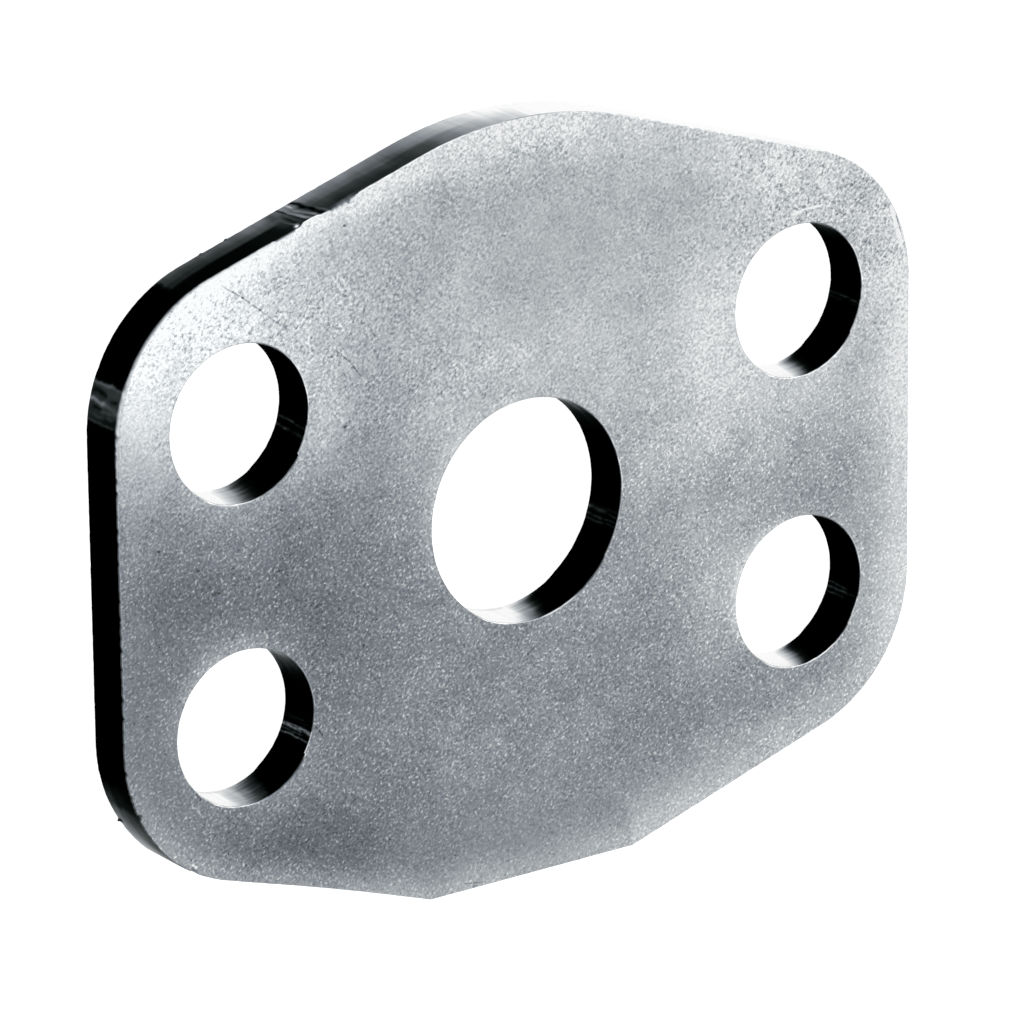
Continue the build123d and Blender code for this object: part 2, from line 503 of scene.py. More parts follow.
def edgeProfile(loop, column):
    # Inset, height, depth and how far round the front arris, for each point from front to back
    cut, along, run = loop.cut, loop.along[column], loop.run[column]
    x, y = loop.place[column]
    wear = readStops(along, cut["wear"])
    for start, end, bite in cut["rough"]:
        teeth = max(0.0, noiseAt(run * cutEdge["teethPerMillimetre"], 2.0, 8.0))
        wear += bite * teeth * window(along, start, end, cut["soft"])
    backTeeth = cutEdge["backTeeth"] * noiseAt(run * cutEdge["backTeethPerMillimetre"], 5.0, 2.0)
    frontRadius = cutEdge["frontRadius"] + readStops(along, cut["rounding"])
    frontRadius *= 1 + cutEdge["radiusChange"] * noiseAt(x * 1.7, y * 1.7, 11.0)
    backRadius = cutEdge["backRadius"] * (1 + cutEdge["radiusChange"] * noiseAt(x * 1.3, y * 1.3, 31.0))
    backRadius += readStops(along, cut["backRounding"])
    rows = []
    for step in range(cutEdge["frontSteps"] + 1):
        turned = step / cutEdge["frontSteps"]
        turn = math.radians(90 * (1 - turned))
        height = plateHigh.z - frontRadius * (1 - math.sin(turn))
        rows.append((frontRadius * (1 - math.cos(turn)), height, turned))
    top, bottom = plateHigh.z - frontRadius, plateLow.z + backRadius
    for row in range(1, cutEdge["wallRows"]):
        rows.append((0.0, top + (bottom - top) * row / cutEdge["wallRows"], 1.0))
    for step in range(cutEdge["backSteps"] + 1):
        turn = math.radians(90 * step / cutEdge["backSteps"])
        height = plateLow.z + backRadius * (1 - math.sin(turn))
        rows.append((backRadius * (1 - math.cos(turn)), height, 1.0))
    profile = []
    for inset, height, turned in rows:
        depth = clamp((plateHigh.z - height) / thickness)
        frontFade = math.exp(-depth / cutEdge["lipDepth"])
        backFade = math.exp((depth - 1) / cutEdge["lipDepth"])
        inset += wear * frontFade + backTeeth * backFade
        inset += wallRelief(loop, column, depth)
        profile.append((inset, height, depth, turned))
    return profile


# Plate faces

plateFace = {
    "ringInsets": (0.06, 0.2, 0.5, 1.0),  # rings of points inside each edge
    "ringKeep": (1, 2, 3, 4),  # every so many columns of each ring
    "gridSpacing": 0.8,
    "gridClearance": 0.7,  # share of the spacing that the grid keeps from the last ring
    "backLevel": 0.6,
    "backFlecks": 0.6,
    "shadedLowerLevel": 0.53,  # painted shade: the skin is darker over the lower half, paler over the upper
    "litUpperLevel": 0.7,
    "changeHeight": 1.2,  # of the slanting line where it changes, at the bore's axis
    "changeSlope": -0.28,
    "changeReach": (4.0, 0.08),  # half the width of the change there, and how it grows to the right
    # Soft patches of painted light and shade with the pickled skin's own mottle; the first, at the upper
    # left, is a painted glare highlight: x, y, reach across and up, lift
    "lightShadeAndSkinPatches": (
        (-24, 15.5, 8, 6.5, 0.195), (-25.5, 9.5, 2.3, 4, 0.075), (-14, 18, 2.5, 2, -0.035),
        (-8.5, 11.5, 5, 4, -0.03), (-13.5, 8.5, 1.8, 3.5, 0.04), (-20, -3.2, 3.5, 1.5, 0.035),
        (-8, -6.5, 3, 2, -0.025), (-9.5, 7.5, 2.5, 3.5, -0.04), (-13, 0, 4, 7, -0.075),
        (-24.3, 0.5, 1.3, 4, -0.035), (-15, -13, 2.5, 3, 0.05), (-4, -14, 4, 2.5, 0.025),
        (-20, -3, 7, 8.5, -0.11), (-15, -16, 6, 3.5, -0.13), (-13, -18.5, 4, 2.5, -0.055),
        (-7, 16.5, 3.5, 3, -0.03), (13.5, 7, 4, 6, 0.14), (19, 14.5, 7, 4.5, 0.095), (1, 9, 8, 3, 0.055),
        (-0.5, 7, 3.5, 1.1, -0.04), (-6.5, 6.2, 1.6, 1.6, 0.035), (6.5, 6.2, 1.6, 1.6, 0.03),
        (-1, -9.5, 2.5, 1.5, 0.03), (9.5, -4.5, 2, 2.5, 0.025), (6.5, -21, 3, 1.2, 0.035),
        (4.5, -6.5, 3, 2, 0.035), (12, 15.5, 6, 2, -0.035), (13.5, -6.5, 3, 4.5, 0.13),
        (14.5, -1.5, 2.5, 3, -0.055), (20.5, 3.3, 3.5, 1.8, 0.05), (13.5, -10, 2, 3, 0.04),
        (26, 12, 2, 2.5, 0.04), (22.5, -10.5, 2.5, 3, 0.05), (22, -2, 4, 3, -0.04),
        (26, -11, 2.5, 4, 0.08), (12, -19.5, 7, 2.5, 0.04), (-24, -11, 4, 6, -0.02),
        (-18.6, 16.3, 1.5, 1.2, -0.065), (-17.8, -13.7, 2.2, 1.3, 0.055), (-18.8, 14, 1.6, 0.9, 0.05),
        (24.7, 9, 1.2, 3.5, 0.045), (17, 17.2, 3.5, 1.4, 0.045), (4, 21.4, 5, 1.2, 0.035),
        (-6.5, 20.6, 2, 1.2, 0.03), (14, 9, 2.2, 4.5, 0.02), (7.5, -0.5, 1, 2.5, 0.045),
    ),
    # Direction that the outline faces: how much painted sheen lightens the skin beside it, and how far in
    "rimLift": {
        0: 0.19, 40: 0.04, 72: 0.09, 90: 0.185, 108: 0.18, 135: 0.02, 180: 0, 225: 0.14, 252: 0.15,
        270: 0.14, 288: 0.19, 330: 0.165, 360: 0.19,
    },
    "rimReach": {
        0: 2.5, 40: 2, 72: 2.8, 90: 2.8, 108: 1.4, 135: 1.5, 180: 1.7, 225: 1.6, 252: 1.25, 270: 1.5,
        288: 2.5, 330: 2.3, 360: 2.5,
    },
    # Direction where the painted sheen beside a hole is lightest, lift there, lift all round, reach
    "holeSheens": {
        "bore": (155, 0.11, 0, 0.9),
        "left_lower": (115, 0.15, 0.04, 1),
        "left_upper": (265, 0.06, 0, 1.5),
        "right_lower": (150, 0.13, 0.03, 0.5),
        "right_upper": (330, 0.08, 0.02, 1),
    },
    # Patches where the grain is stronger or weaker: x, y, reach across and up, change of gain
    "grainPatches": (
        (2, 15.5, 5, 3.5, -0.3), (0, 21.5, 10, 2.2, 0.5), (22, 15, 6, 6, 0.6), (26, 9, 3, 4, 0.3),
        (13, 6, 5, 6, 0.2), (-4, 8.5, 6, 2, 0.4), (-10, 13, 6, 5.5, 0.25), (-16, 18.5, 5, 2.5, -0.25),
        (-26, 10, 2, 4, -0.6), (0, -20, 14, 3.5, -0.4), (-25, -10, 4, 8, -0.45), (26, -8, 3.5, 10, -0.25),
    ),
    "fleckHeights": {1: 1.1, 9: 0.2},  # by y: bright flecks thin out towards the top
    # Where dark specks lie in the bright skin
    "speckPatches": (
        (-21, 14.5, 7, 5.5, 0.9), (20, 13, 7, 6, 0.8), (-11, 13, 5, 6, 0.45), (0, 21, 9, 2.5, 0.4),
        (17, 17.6, 5, 1.6, 0.7), (20.5, 14.2, 4, 1.5, 0.45), (24.7, 9.5, 1.3, 4, 0.5),
    ),
    "ceiling": 0.945,  # the lightest level of the skin
    "ceilingPatches": ((-21.5, 15, 10, 8, -0.072),),  # lower under the glare lamp
    "fleckPatches": ((-26, -8, 3.5, 12, -0.25), (0, -20, 16, 3, -0.5), (26, -9, 3, 9, -0.25)),
}


def patchSum(x, y, key):
    total = 0.0
    for centreX, centreY, reachX, reachY, lift in plateFace[key]:
        across, up = (x - centreX) / reachX, (y - centreY) / reachY
        total += lift * math.exp(-across * across - up * up)
    return total


def nearestColumn(x, y):
    gaps = np.hypot(outline.place[:, 0] - x, outline.place[:, 1] - y)
    nearest = int(np.argmin(gaps))
    return nearest, gaps[nearest]


def rimLift(x, y):
    # Painted sheen: the skin is lighter beside the edges, more where they face some ways than others
    nearest, gap = nearestColumn(x, y)
    facing = outline.facing[nearest]
    total = readStops(facing, plateFace["rimLift"]) * bell(gap, readStops(facing, plateFace["rimReach"]))
    for hole in holes:
        direction, lift, allRound, reach = plateFace["holeSheens"][hole.name]
        across, up = x - hole.centre[0], y - hole.centre[1]
        gap = math.hypot(across, up) - hole.radius
        share = max(0.0, math.cos(math.atan2(up, across) - math.radians(direction))) ** 2
        total += (allRound + lift * share) * bell(gap, reach)
    return total


def faceLevel(x, y):
    # The skin's tone with painted light: paler above a slanting line, darker below, with painted patches
    # and edge sheen
    height = y - plateFace["changeHeight"] - plateFace["changeSlope"] * x
    reach, growth = plateFace["changeReach"]
    share = 0.5 + 0.5 * math.tanh(height / (reach + growth * max(0.0, x)))
    level = plateFace["shadedLowerLevel"] + (plateFace["litUpperLevel"] - plateFace["shadedLowerLevel"]) * share
    return level + patchSum(x, y, "lightShadeAndSkinPatches") + rimLift(x, y)


def onSteel(x, y, clearance):
    for hole in holes:
        if math.hypot(x - hole.centre[0], y - hole.centre[1]) < hole.radius + clearance:
            return False
    nearest, gap = nearestColumn(x, y)
    inward = (outline.place[nearest] - (x, y)) @ outline.normal[nearest] > 0
    return gap > clearance and inward


def insideBorders(x, y, borders):
    # A line to the right of a place inside crosses the borders an odd number of times
    crossings = 0
    for border in borders:
        start, end = border, np.roll(border, -1, axis=0)
        passes = (start[:, 1] > y) != (end[:, 1] > y)
        rise = np.where(passes, end[:, 1] - start[:, 1], 1.0)
        crossing = start[:, 0] + (y - start[:, 1]) * (end[:, 0] - start[:, 0]) / rise
        crossings += int((passes & (crossing > x)).sum())
    return crossings % 2 == 1


def faceTriangles(borders):
    # Borders are the innermost points of each cut edge
    points, edges = [], []
    for border in borders:
        first = len(points)
        points += [Vector(place) for place in border]
        edges += [(first + k, first + (k + 1) % len(border)) for k in range(len(border))]
    borderCount = len(points)
    for inset, keep in zip(plateFace["ringInsets"], plateFace["ringKeep"]):
        for loop, border in zip(loops, borders):
            points += [Vector(place) for place in (border - loop.normal * inset)[::keep]]
    spacing = plateFace["gridSpacing"]
    rowHeight = spacing * math.sqrt(3) / 2
    clearance = plateFace["ringInsets"][-1] + plateFace["gridClearance"] * spacing
    for row in range(int(plateLow.y / rowHeight), int(plateHigh.y / rowHeight) + 1):
        for step in range(int(plateLow.x / spacing), int(plateHigh.x / spacing) + 1):
            x, y = (step + 0.5 * (row % 2)) * spacing, row * rowHeight
            if onSteel(x, y, clearance):
                points.append(Vector((x, y)))
    made, _, triangles, _, _, _ = geometry.delaunay_2d_cdt(points, edges, [], 0, 1e-7)
    if len(made) != len(points):
        raise ValueError("points of the face merged or crossed")
    kept = []
    for triangle in triangles:
        x, y = sum((made[k] for k in triangle), Vector((0, 0))) / 3
        if max(triangle) >= borderCount or insideBorders(x, y, borders):
            kept.append(list(triangle))
    return made, kept


def skinLevels(x, y, front):
    if not front:
        plain = {"faceLevel": plateFace["backLevel"], "fleckGain": plateFace["backFlecks"]}
        return {**plain, "grainGain": 1.0, "ceiling": plateFace["ceiling"]}
    return {
        "faceLevel": faceLevel(x, y),
        "grainGain": 1 + patchSum(x, y, "grainPatches"),
        "fleckGain": readStops(y, plateFace["fleckHeights"]) * (1 + patchSum(x, y, "fleckPatches")),
        "speckGain": patchSum(x, y, "speckPatches"),
        "ceiling": plateFace["ceiling"] + patchSum(x, y, "ceilingPatches"),
    }


# Levels and strengths painted on the mesh for the materials to read
skinPaint = ("faceLevel", "grainGain", "fleckGain", "speckGain", "ceiling")
edgePaint = ("wallLevel", "streakGain", "bandGain", "rimShare", "rimLevel")


def buildPlate():
    vertices, faces, wallFaces = [], [], []
    paint = {name: [] for name in skinPaint + edgePaint}

    def addVertex(x, y, z, levels):
        vertices.append((x, y, z))
        for name, values in paint.items():
            values.append(levels.get(name, 0.0))
        return len(vertices) - 1

    frontBorders, backBorders = [], []
    for loop in loops:
        first = len(vertices)
        for column in range(len(loop.run)):
            x, y = loop.place[column]
            frontSkin, backSkin = skinLevels(x, y, True), skinLevels(x, y, False)
            rim = rimLevel(loop, column)
            shared = {"streakGain": streakGain(loop, column), "bandGain": loop.cut["bands"]}
            for inset, height, depth, turned in edgeProfile(loop, column):
                pointX, pointY = loop.place[column] - loop.normal[column] * inset
                wall = wallLevel(loop, column, depth)
                wallShare = climb(turned, cutEdge["wallStart"], 1 - cutEdge["wallStart"])
                levels = {**shared, "wallLevel": wall, "rimLevel": rim + (wall - rim) * wallShare}
                # The skin's level gives way over the first half of the front arris
                levels["rimShare"] = clamp(2 * turned) if depth < 0.5 else 0.0
                skin = frontSkin if turned < 1 else backSkin
                addVertex(pointX, pointY, height, {**levels, **skin})
        rowCount = (len(vertices) - first) // len(loop.run)
        starts = list(range(first, len(vertices), rowCount))
        for here, there in zip(starts, starts[1:] + starts[:1]):
            for row in range(rowCount - 1):
                faces.append((here + row, here + row + 1, there + row + 1, there + row))
                # The last strip of the back arris has the skin's material
                wallFaces.append(cutEdge["frontSteps"] <= row < rowCount - 2)
        frontBorders.append(starts)
        backBorders.append([start + rowCount - 1 for start in starts])

    for borders, height, front in ((frontBorders, plateHigh.z, True), (backBorders, plateLow.z, False)):
        index = [k for border in borders for k in border]
        flat = [np.array([vertices[k][:2] for k in border]) for border in borders]
        places, triangles = faceTriangles(flat)
        for x, y in places[len(index):]:
            index.append(addVertex(x, y, height, skinLevels(x, y, front)))
        for triangle in triangles:
            corners = [index[k] for k in triangle]
            first, second, third = (Vector(vertices[k][:2]) for k in corners)
            if ((second - first).cross(third - first) > 0) != front:
                corners.reverse()
            faces.append(tuple(corners))
            wallFaces.append(False)

    mesh = bpy.data.meshes.new("flange_shim_plate")
    mesh.from_pydata([(x * mm, y * mm, z * mm) for x, y, z in vertices], [], faces)
    mesh.polygons.foreach_set("use_smooth", [True] * len(faces))
    mesh.polygons.foreach_set("material_index", [int(wall) for wall in wallFaces])
    for name, values in paint.items():
        mesh.attributes.new(name, "FLOAT", "POINT").data.foreach_set("value", values)
    mesh.update()
    mesh.validate(verbose=False)
    triangleCount = sum(len(corners) - 2 for corners in faces)
    print("plate mesh:", len(vertices), "vertices,", triangleCount, "triangles")
    return addObject("flange_shim_plate", mesh)


# Node helpers

def addNode(tree, kind, inputs=None, **settings):
    node = tree.nodes.new(kind)
    for key, value in settings.items():
        setattr(node, key, value)
    for key, value in (inputs or {}).items():
        if isinstance(value, bpy.types.NodeSocket):
            tree.links.new(value, node.inputs[key])
        else:
            node.inputs[key].default_value = value
    return node


def addMath(tree, operation, *values, limited=False):
    inputs = dict(enumerate(values))
    return addNode(tree, "ShaderNodeMath", inputs, operation=operation, use_clamp=limited).outputs[0]


def addVectorMath(tree, operation, *values, **named):
    inputs = {**dict(enumerate(values)), **named}
    outputs = addNode(tree, "ShaderNodeVectorMath", inputs, operation=operation).outputs
    return outputs["Value" if operation in ("DOT_PRODUCT", "DISTANCE") else "Vector"]


def addRange(tree, value, fromLow, fromHigh, toLow, toHigh, smooth=False):
    inputs = {"Value": value, "From Min": fromLow, "From Max": fromHigh, "To Min": toLow, "To Max": toHigh}
    kind = "SMOOTHSTEP" if smooth else "LINEAR"
    return addNode(tree, "ShaderNodeMapRange", inputs, interpolation_type=kind).outputs["Result"]


def addSpread(tree, value, low, high):
    # Noise mostly lies between 0.3 and 0.7, which become low and high
    return addRange(tree, value, 0.3, 0.7, low, high)


def addNoise(tree, place, scale, detail=1.0, roughness=0.5):
    inputs = {"Vector": place, "Scale": scale, "Detail": detail, "Roughness": roughness}
    return addNode(tree, "ShaderNodeTexNoise", inputs).outputs[0]


def linear(level):
    return level / 12.92 if level <= 0.04045 else ((level + 0.055) / 1.055) ** 2.4


def emptyTree(owner):
    owner.use_nodes = True
    owner.node_tree.nodes.clear()
    return owner.node_tree


def newMaterial(name):
    material = bpy.data.materials.new(name)
    tree = emptyTree(material)
    shader = addNode(tree, "ShaderNodeBsdfPrincipled")
    addNode(tree, "ShaderNodeOutputMaterial", {"Surface": shader.outputs["BSDF"]})
    return material, tree, shader


def attributeValue(tree, name):
    return addNode(tree, "ShaderNodeAttribute", attribute_name=name).outputs["Fac"]


def placeInMillimetres(tree):
    coordinates = addNode(tree, "ShaderNodeTexCoord").outputs["Object"]
    return addVectorMath(tree, "SCALE", coordinates, Scale=1 / mm)


# Colour of the steel by its level: red, green and blue levels, from black to white
steelTints = (
    (0.0, (0, 0, 0)), (0.1, (0.075, 0.1, 0.095)), (0.25, (0.225, 0.25, 0.255)),
    (0.47, (0.447, 0.47, 0.5)), (0.56, (0.537, 0.56, 0.584)), (0.67, (0.65, 0.67, 0.684)),
    (0.8, (0.785, 0.8, 0.808)), (0.92, (0.914, 0.92, 0.924)), (0.97, (0.972, 0.976, 0.974)),
    (1.0, (1, 1, 1)),
)


def addSteelColour(tree, level):
    ramp = addNode(tree, "ShaderNodeValToRGB", {0: level})
    elements = ramp.color_ramp.elements
    while len(elements) < len(steelTints):
        elements.new(0.5)
    for element, (position, tint) in zip(elements, steelTints):
        element.position = position
        element.color = (*(linear(part) for part in tint), 1)
    return ramp.outputs["Color"]


def makeGroup(name, inputs, outputs):
    group = bpy.data.node_groups.new(name, "ShaderNodeTree")
    for socket, kind in inputs.items():
        group.interface.new_socket(socket, in_out="INPUT", socket_type="NodeSocket" + kind)
    for socket in outputs:
        group.interface.new_socket(socket, in_out="OUTPUT", socket_type="NodeSocketFloat")
    return group, addNode(group, "NodeGroupInput").outputs, addNode(group, "NodeGroupOutput").inputs


grainForm = {
    "lean": 33,  # degrees from +X to the way that the grain is longer
    "stretch": 1.12,
    "clustersPerMillimetre": 1.1,
    "clusterGain": (0.65, 1.35),
    # Shift, scale against the grain's, detail, roughness, noise where a mark starts and is full
    "Flecks": ((13.1, 7.7, 5.3), 1.25, 0.0, 0.5, 0.56, 0.84),
    "Specks": ((31.3, 2.9, 17.7), 0.9, 2.0, 0.6, 0.54, 0.76),
    "Pits": ((3.9, 21.7, 8.1), 0.8, 0.0, 0.5, 0.76, 0.84),
    "fleckHeight": 0.4,
}


def makeGrainGroup():
    # Fine grain of pickled steel, longer one way: an even grain, bright flecks, dark specks and pits
    inputs, outputs = {"Place": "Vector", "Size": "Float"}, ("Grain", "Flecks", "Specks", "Pits", "Height")
    group, source, result = makeGroup("steelGrain", inputs, outputs)
    turn, stretch = (0, 0, math.radians(grainForm["lean"])), (grainForm["stretch"], 1, 1)
    inputs = {"Vector": source["Place"], "Rotation": turn, "Scale": stretch}
    leaning = addNode(group, "ShaderNodeMapping", inputs, vector_type="TEXTURE").outputs[0]
    scale = addMath(group, "DIVIDE", 1.0, source["Size"])
    grain = addNoise(group, leaning, scale, 1.5, 0.6)
    centred = addMath(group, "MULTIPLY", addMath(group, "SUBTRACT", grain, 0.5), 2.0)
    clusters = addNoise(group, source["Place"], grainForm["clustersPerMillimetre"], 1.0)
    gain = addSpread(group, clusters, *grainForm["clusterGain"])
    group.links.new(addMath(group, "MULTIPLY", centred, gain), result["Grain"])
    marks = {}
    for name, base in (("Flecks", leaning), ("Specks", leaning), ("Pits", source["Place"])):
        shift, ratio, detail, roughness, start, full = grainForm[name]
        place = addVectorMath(group, "ADD", base, shift)
        pattern = addNoise(group, place, addMath(group, "MULTIPLY", scale, ratio), detail, roughness)
        marks[name] = addRange(group, pattern, start, full, 0.0, 1.0, smooth=name != "Specks")
        group.links.new(marks[name], result[name])
    raised = addMath(group, "MULTIPLY", marks["Flecks"], grainForm["fleckHeight"])
    group.links.new(addMath(group, "ADD", grain, raised), result["Height"])
    return group


scratchForm = {
    "core": 0.3,  # share of the half width that is at full strength
    "gapsPerMillimetre": 3.0,
    "gapStops": (0.38, 0.55),  # noise where the scratch is faintest, and where it is full
    "faintest": 0.25,
}


def makeScratchGroup():
    # 1 on a straight scratch from one place to another, 0 away from it
    inputs = {"Place": "Vector", "Start": "Vector", "End": "Vector", "Width": "Float"}
    group, source, result = makeGroup("scratchMark", inputs, ("Mask",))
    ahead = addVectorMath(group, "SUBTRACT", source["End"], source["Start"])
    offset = addVectorMath(group, "SUBTRACT", source["Place"], source["Start"])
    reach = addVectorMath(group, "DOT_PRODUCT", offset, ahead)
    whole = addVectorMath(group, "DOT_PRODUCT", ahead, ahead)
    share = addMath(group, "DIVIDE", reach, whole, limited=True)
    gap = addVectorMath(group, "DISTANCE", offset, addVectorMath(group, "SCALE", ahead, Scale=share))
    core = addMath(group, "MULTIPLY", source["Width"], scratchForm["core"])
    mask = addRange(group, gap, core, source["Width"], 1.0, 0.0, smooth=True)
    gaps = addNoise(group, source["Place"], scratchForm["gapsPerMillimetre"])
    worn = addRange(group, gaps, *scratchForm["gapStops"], scratchForm["faintest"], 1.0)
    group.links.new(addMath(group, "MULTIPLY", mask, worn), result["Mask"])
    return group


def useGroup(tree, group, **inputs):
    return addNode(tree, "ShaderNodeGroup", inputs, node_tree=group).outputs


def finishSteel(tree, shader, level, height, finish):
    # What both materials share: colour and metal by the level, and fine relief
    metallic = addRange(tree, level, *finish["metallicLevels"], 0.0, finish["metallic"], smooth=True)
    relief = {"Strength": 1.0, "Distance": finish["bumpHeight"] * mm, "Height": height}
    bump = addNode(tree, "ShaderNodeBump", relief)
    tree.links.new(addSteelColour(tree, level), shader.inputs["Base Color"])
    tree.links.new(metallic, shader.inputs["Metallic"])
    tree.links.new(bump.outputs["Normal"], shader.inputs["Normal"])


faceFinish = {
    "grainSize": 0.175,
    "grainDepth": 0.26,
    "fleckLift": 0.22,
    "speckDepth": 0.42,
    "pitDepth": 0.16,
    "cloudsPerMillimetre": 0.2,
    "cloudDepth": 0.056,
    "bumpHeight": 0.004,
    "metallic": 0.85,
    "metallicLevels": (0.05, 0.35),  # level where it starts, and where it is full
    "roughness": 0.24,
    "roughnessChange": 0.04,  # the dark parts of the grain are rougher
    "grainSpan": 0.6,  # the grain mostly lies between this and its negative
    # Scratches and dents: start, end, half width, change of level
    "scratches": (
        ((-20, 16.75), (-18.7, 15.85), 0.08, -0.3), ((-18.7, 15.85), (-17.6, 14.95), 0.075, -0.26),
        ((-17.6, 14.95), (-16.3, 13.85), 0.075, -0.2), ((-12.76, 11.79), (-11.79, 10.92), 0.07, -0.24),
        ((-11.79, 10.92), (-11.15, 10.05), 0.07, -0.24), ((-14.5, -9.7), (-14.05, -10.3), 0.06, -0.3),
        ((18.6, 13.92), (19.5, 14.1), 0.09, 0.4), ((19.5, 14.1), (20.65, 14.12), 0.09, 0.45),
        ((25.7, 13), (26.4, 10.9), 0.19, 0.45), ((26, 12.55), (26.5, 11.1), 0.05, -0.4),
        ((20.42, -1.11), (20.85, -1.38), 0.06, 0.25), ((13.74, -9.25), (14.52, -9.66), 0.06, 0.22),
        ((-12.2, 7.27), (-12.15, 7.3), 0.13, -0.4), ((-12.03, 18.7), (-12, 18.7), 0.13, -0.4),
        ((16.46, 12.76), (16.5, 12.74), 0.14, -0.6), ((-22.3, -12.15), (-22.2, -12.25), 0.13, -0.35),
        ((-4.6, -21.3), (-3.2, -21.5), 0.05, -0.2), ((-24.52, 2.56), (-24.44, 2.56), 0.11, -0.3),
        ((-22, 0.95), (-21.92, 0.95), 0.1, -0.3), ((-22.8, -15.95), (-22.55, -16.15), 0.09, 0.3),
    ),
}


def makeFaceMaterial():
    material, tree, shader = newMaterial("pickledFace")
    place = placeInMillimetres(tree)
    grain = useGroup(tree, grainGroup, Place=place, Size=faceFinish["grainSize"])
    clouds = addNoise(tree, place, faceFinish["cloudsPerMillimetre"], 4.0, 0.9)
    cloud = addSpread(tree, clouds, -faceFinish["cloudDepth"], faceFinish["cloudDepth"])
    texture = addMath(tree, "MULTIPLY_ADD", grain["Grain"], faceFinish["grainDepth"], cloud)
    gain, base = attributeValue(tree, "grainGain"), attributeValue(tree, "faceLevel")
    level = addMath(tree, "MULTIPLY_ADD", texture, gain, base)
    lift = addMath(tree, "MULTIPLY", attributeValue(tree, "fleckGain"), faceFinish["fleckLift"])
    level = addMath(tree, "MULTIPLY_ADD", grain["Flecks"], lift, level)
    drop = addMath(tree, "MULTIPLY", attributeValue(tree, "speckGain"), -faceFinish["speckDepth"])
    level = addMath(tree, "MULTIPLY_ADD", grain["Specks"], drop, level)
    level = addMath(tree, "MULTIPLY_ADD", grain["Pits"], -faceFinish["pitDepth"], level)
    for start, end, width, change in faceFinish["scratches"]:
        ends = {"Start": (*start, plateHigh.z), "End": (*end, plateHigh.z)}
        scratch = useGroup(tree, scratchGroup, Place=place, Width=width, **ends)
        level = addMath(tree, "MULTIPLY_ADD", scratch["Mask"], change, level)
    level = addMath(tree, "MINIMUM", level, attributeValue(tree, "ceiling"))
    blend = {"Factor": attributeValue(tree, "rimShare"), "A": level, "B": attributeValue(tree, "rimLevel")}
    level = addNode(tree, "ShaderNodeMix", blend, data_type="FLOAT").outputs[0]
    middle, change, span = (faceFinish[key] for key in ("roughness", "roughnessChange", "grainSpan"))
    roughness = addRange(tree, grain["Grain"], -span, span, middle + change, middle - change)
    tree.links.new(roughness, shader.inputs["Roughness"])
    finishSteel(tree, shader, level, grain["Height"], faceFinish)
    return material


wallFinish = {
    # Per millimetre along the frame's axes
    "streakScale": (3.0, 3.0, 0.12),
    "bandScale": (0.4, 0.4, 3.5),
    "bandDepth": 0.8,
    "metallic": 1.0,
    "metallicLevels": (0.1, 0.5),
    "roughness": 0.36,
    "bumpHeight": 0.004,
}


def makeWallMaterial():
    # The walls' light and dark are painted reflection. Bright walls are metallic too and mirror what
    # stands round the plate, black ones take all the light
    material, tree, shader = newMaterial("laserCutWall")
    place = placeInMillimetres(tree)
    streak = addNoise(tree, addVectorMath(tree, "MULTIPLY", place, wallFinish["streakScale"]), 1.0, 3.0)
    centred = addSpread(tree, streak, -1.0, 1.0)
    factor = addMath(tree, "MULTIPLY_ADD", centred, attributeValue(tree, "streakGain"), 1.0)
    painted = attributeValue(tree, "wallLevel")
    level = addMath(tree, "MULTIPLY", painted, factor)
    # Fine bands run along the wall where its tone changes
    bandPlace = addVectorMath(tree, "MULTIPLY", place, wallFinish["bandScale"])
    bands = addNoise(tree, bandPlace, 1.0, 2.0, 0.6)
    banding = addSpread(tree, bands, -wallFinish["bandDepth"], wallFinish["bandDepth"])
    midTone = addMath(tree, "MULTIPLY", painted, addMath(tree, "SUBTRACT", 1.0, painted), limited=True)
    strength = addMath(tree, "MULTIPLY", midTone, attributeValue(tree, "bandGain"))
    level = addMath(tree, "MULTIPLY_ADD", banding, strength, level)
    shader.inputs["Specular IOR Level"].default_value = 0.0
    shader.inputs["Roughness"].default_value = wallFinish["roughness"]
    finishSteel(tree, shader, level, streak, wallFinish)
    return material


grainGroup = makeGrainGroup()
scratchGroup = makeScratchGroup()
plate = buildPlate()
plate.data.materials.append(makeFaceMaterial())
plate.data.materials.append(makeWallMaterial())
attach(plate, "root")
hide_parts("shim_plate")
print("materials made")


# Stage: pale floor, soft lights, camera

stageSetup = {
    "floorSize": 2.0,  # metres
    "floorGap": 0.02,  # under the plate
    "floorLevel": 0.8,
    "floorGlow": 0.82,  # what the camera sees of the floor apart from the light on it
    "worldStrength": 0.55,
    # lamp: place, aim, width, height, power in watts
    "keyLamp": ((420, 560, 520), (0, 0, 0), 1200, 1200, 2.0),
    "fillLamp": ((-300, -500, 600), (0, 0, 0), 900, 900, 2.0),
    "glareLamp": ((31, -17, 88), (-27, 17, 3), 20, 20, 0.001),
}


def addLight(tree, kind, strength):
    return addNode(tree, kind, {"Color": (1, 1, 1, 1), "Strength": strength}).outputs[0]


def mixShaders(tree, share, plain, other):
    return addNode(tree, "ShaderNodeMixShader", {"Fac": share, 1: plain, 2: other}).outputs[0]


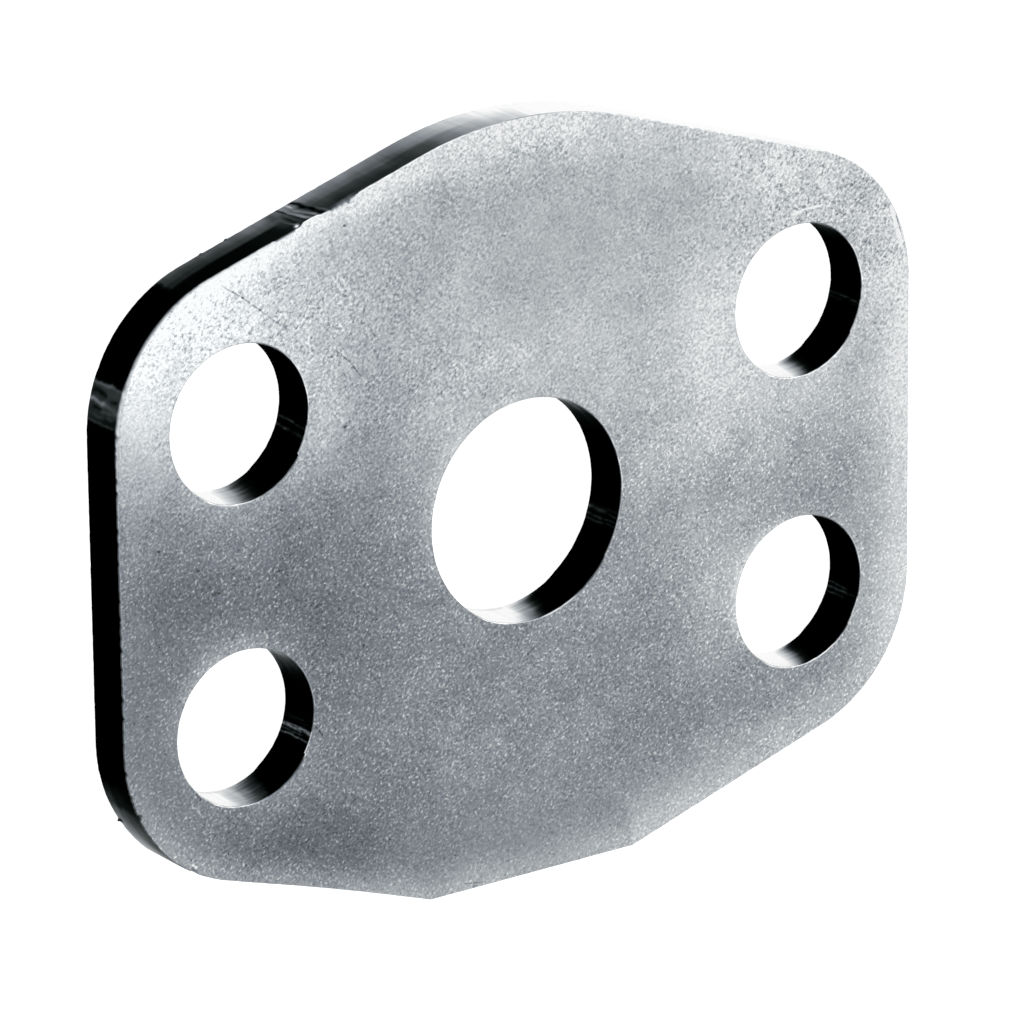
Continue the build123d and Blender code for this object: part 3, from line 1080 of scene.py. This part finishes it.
def makeFloor():
    half = stageSetup["floorSize"] / 2
    mesh = bpy.data.meshes.new("floor")
    corners = [(-half, -half, 0), (half, -half, 0), (half, half, 0), (-half, half, 0)]
    mesh.from_pydata(corners, [], [(0, 1, 2, 3)])
    floor = addObject("floor", mesh)
    floor.location.z = cadLow.z - stageSetup["floorGap"] * mm
    material = bpy.data.materials.new("paleFloor")
    tree = emptyTree(material)
    colour = (stageSetup["floorLevel"],) * 3 + (1,)
    diffuse = addNode(tree, "ShaderNodeBsdfDiffuse", {"Color": colour}).outputs[0]
    glow = addLight(tree, "ShaderNodeEmission", stageSetup["floorGlow"])
    lit = addNode(tree, "ShaderNodeAddShader", {0: diffuse, 1: glow}).outputs[0]
    path = addNode(tree, "ShaderNodeLightPath").outputs
    seen = mixShaders(tree, path["Is Camera Ray"], diffuse, lit)
    mirrored = addMath(tree, "MAXIMUM", path["Is Glossy Ray"], path["Is Transmission Ray"])
    surface = mixShaders(tree, mirrored, seen, addLight(tree, "ShaderNodeEmission", 1.0))
    addNode(tree, "ShaderNodeOutputMaterial", {"Surface": surface})
    mesh.materials.append(material)


def makeWorld():
    world = bpy.data.worlds.new("studio")
    tree = emptyTree(world)
    soft = addLight(tree, "ShaderNodeBackground", stageSetup["worldStrength"])
    white = addLight(tree, "ShaderNodeBackground", 1.0)
    path = addNode(tree, "ShaderNodeLightPath").outputs
    seen = addMath(tree, "MAXIMUM", path["Is Camera Ray"], path["Is Glossy Ray"])
    seen = addMath(tree, "MAXIMUM", seen, path["Is Transmission Ray"])
    addNode(tree, "ShaderNodeOutputWorld", {"Surface": mixShaders(tree, seen, soft, white)})
    bpy.context.scene.world = world


def addAimed(name, data, place, aim, roll=0.0):
    made = addObject(name, data)
    made.location = Vector(place) * mm
    made.rotation_mode = "QUATERNION"
    level = (Vector(aim) - Vector(place)).to_track_quat("-Z", "Y")
    made.rotation_quaternion = level @ Quaternion((0, 0, 1), math.radians(roll))
    return made


def makeLamp(name):
    place, aim, width, height, power = stageSetup[name]
    data = bpy.data.lights.new(name, "AREA")
    data.shape = "RECTANGLE"
    data.size, data.size_y = width * mm, height * mm
    data.energy = power
    addAimed(name, data, place, aim)


cameraSetup = {
    "place": (-236.81, 136.85, 338.36),
    "aim": (-1.087, 0.1245, 3.0),
    "roll": 113.612,  # degrees, so that +Y points up in the picture
    "lens": 272.15,
    "sensorWidth": 36,
    "clip": (0.01, 10),  # metres
}


def makeCamera():
    data = bpy.data.cameras.new("photoCamera")
    data.sensor_width = cameraSetup["sensorWidth"]
    data.lens = cameraSetup["lens"]
    data.clip_start, data.clip_end = cameraSetup["clip"]
    place, aim, roll = (cameraSetup[key] for key in ("place", "aim", "roll"))
    bpy.context.scene.camera = addAimed("photoCamera", data, place, aim, roll)


makeFloor()
makeWorld()
for lampName in ("keyLamp", "fillLamp", "glareLamp"):
    makeLamp(lampName)
makeCamera()
bpy.context.scene.view_settings.view_transform = "Standard"
print("stage made")
